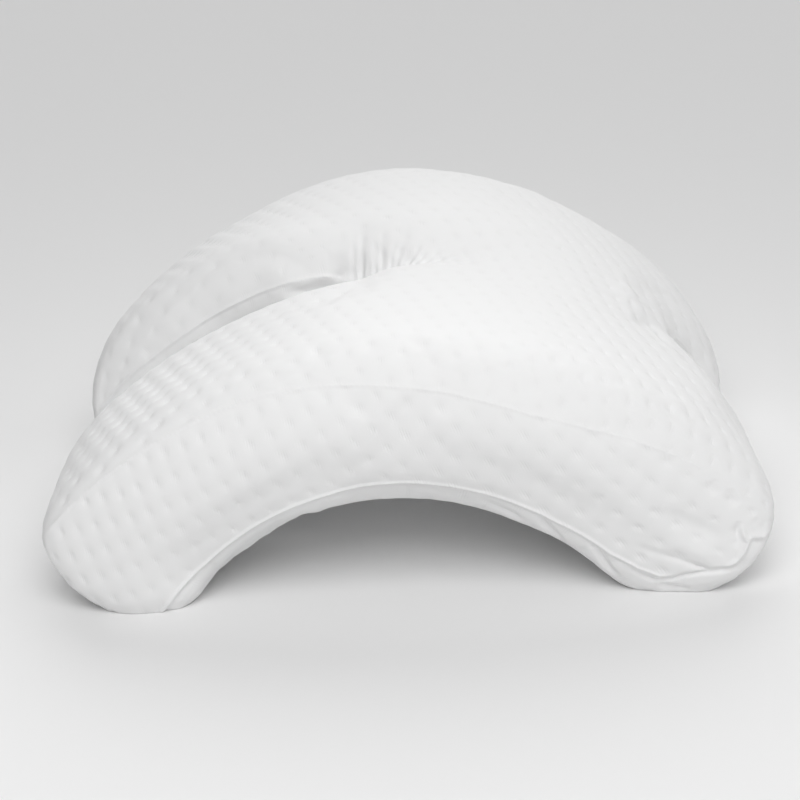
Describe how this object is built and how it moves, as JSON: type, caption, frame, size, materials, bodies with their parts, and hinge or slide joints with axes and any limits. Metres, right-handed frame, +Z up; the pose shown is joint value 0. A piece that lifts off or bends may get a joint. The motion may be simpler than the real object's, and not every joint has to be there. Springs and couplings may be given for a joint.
{
  "type": "cervical pillow",
  "caption": "Arched foam pillow in a white dimpled knit cover, standing like a low bridge, with a long arm slot in one end and a short one in the other.",
  "frame": {"origin": "on the floor, at the middle of the bounding box", "axes": "+X along the width towards the short slot, +Y from the front face to the higher back, +Z up through the crown of the arch"},
  "size_m": [0.563, 0.421, 0.24],
  "materials": {
    "knitted_cover": "matt white double knit with rows of soft dimples"
  },
  "bodies": {
    "root": {"pillow": "knitted_cover"}
  },
  "joints": []
}
